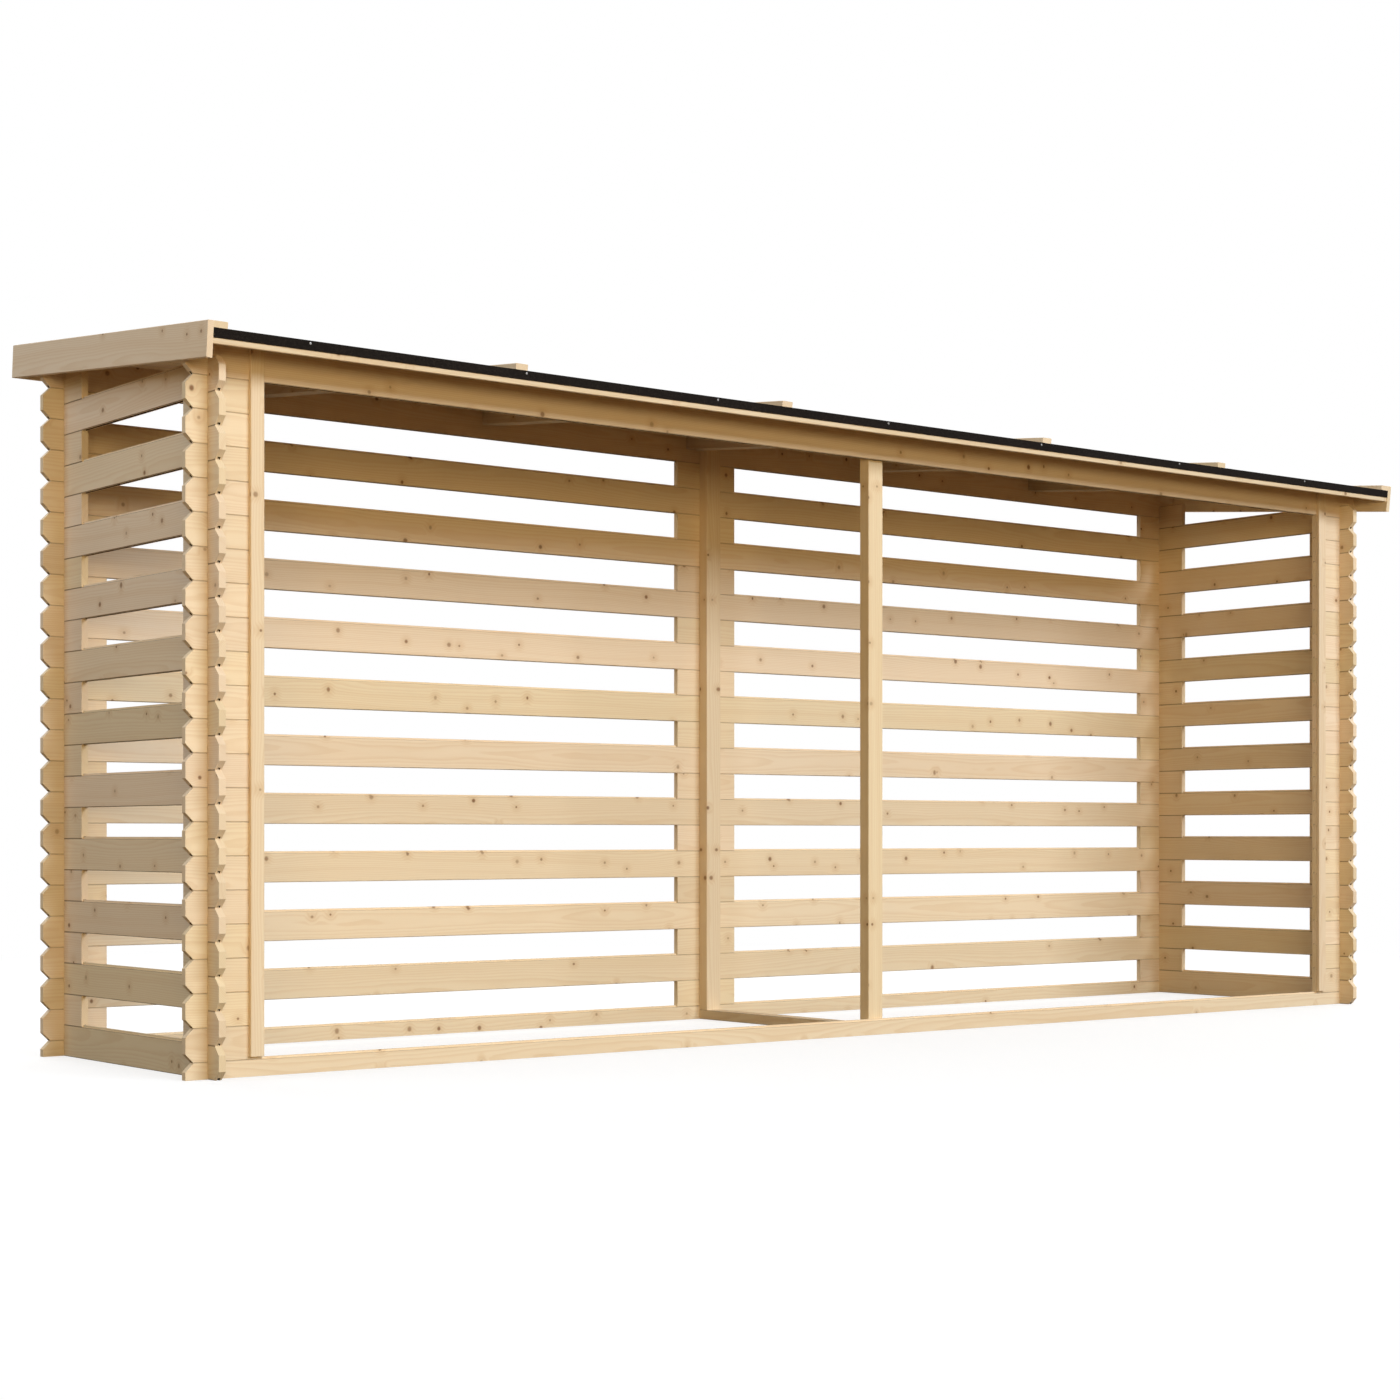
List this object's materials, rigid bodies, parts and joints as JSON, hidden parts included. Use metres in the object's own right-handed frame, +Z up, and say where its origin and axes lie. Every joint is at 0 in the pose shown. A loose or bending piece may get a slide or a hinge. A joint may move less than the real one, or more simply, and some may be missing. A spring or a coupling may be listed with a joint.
{
  "type": "log store",
  "caption": "Long open-fronted log store of crossing notched logs, with slatted sides and back, a post in the middle and a low felted roof that slopes to the front.",
  "frame": {"origin": "on the ground under the middle of the box round the whole store, roof included", "axes": "+X along the store to the right as seen from its open front, +Y to its back, +Z up"},
  "size_m": [5.17, 1.3179, 2.1939],
  "materials": {
    "spruce_logs": "planed, untreated",
    "spruce_frame": "planed, untreated",
    "spruce_roof": "planed, untreated",
    "roofing_felt": "matt bitumen felt"
  },
  "bodies": {
    "root": {"front_sill": "spruce_logs", "front_header": "spruce_logs", "front_left_logs_odd": "spruce_logs", "front_left_logs_even": "spruce_logs", "front_right_logs_odd": "spruce_logs", "front_right_logs_even": "spruce_logs", "left_wall_slats": "spruce_logs", "right_wall_slats": "spruce_logs", "left_wall_front_spacers": "spruce_logs", "right_wall_front_spacers": "spruce_logs", "left_wall_rear_spacers": "spruce_logs", "right_wall_rear_spacers": "spruce_logs", "rear_sill": "spruce_logs", "rear_wall_slats": "spruce_logs", "rear_top_log": "spruce_logs", "rear_left_spacers": "spruce_logs", "rear_centre_spacers": "spruce_logs", "rear_right_spacers": "spruce_logs", "left_jamb": "spruce_frame", "right_jamb": "spruce_frame", "front_post": "spruce_frame", "rear_post": "spruce_frame", "floor_beam": "spruce_frame", "rafters": "spruce_frame", "roof_boards_odd": "spruce_roof", "roof_boards_even": "spruce_roof", "front_fascia": "spruce_roof", "rear_fascia": "spruce_roof", "left_barge_board": "spruce_roof", "right_barge_board": "spruce_roof", "roof_battens": "spruce_roof", "roof_felt": "roofing_felt"}
  },
  "joints": []
}
